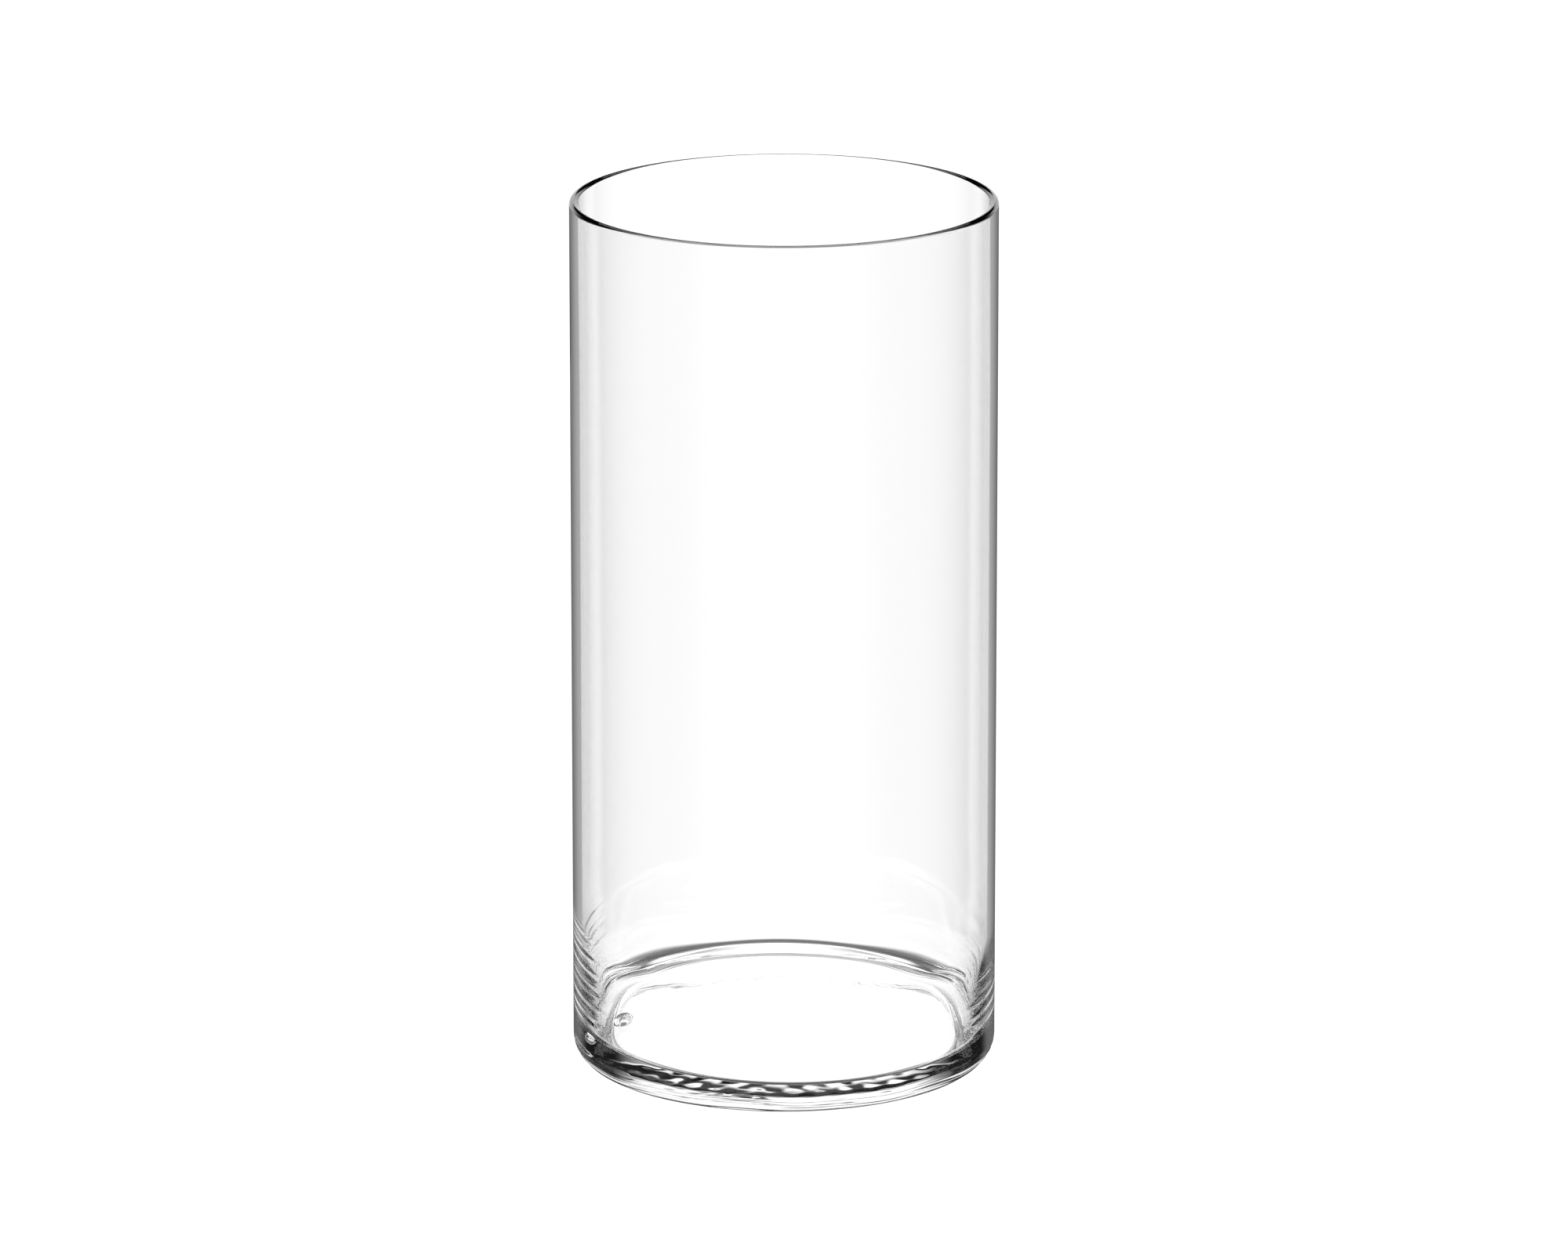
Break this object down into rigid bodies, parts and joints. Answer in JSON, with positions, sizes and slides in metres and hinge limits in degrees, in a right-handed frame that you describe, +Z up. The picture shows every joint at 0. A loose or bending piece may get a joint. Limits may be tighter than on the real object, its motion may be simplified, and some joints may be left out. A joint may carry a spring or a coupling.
{
  "type": "glass cylinder vase",
  "caption": "Clear glass cylinder vase with a thin straight wall that thickens towards a heavy base, a rounded lip, tight inner corners and a hollow pushed up into the underside inside a narrow flat standing ring.",
  "frame": {"origin": "centre of the standing ring, on the surface that the vase stands on", "axes": "+Z up along the vase's axis, out of the mouth; X and Y lie in the surface, and no direction round the axis is special"},
  "size_m": [0.12, 0.12, 0.25],
  "materials": {
    "clear_glass": "polished"
  },
  "bodies": {
    "root": {"glass_vase": "clear_glass"}
  },
  "joints": []
}
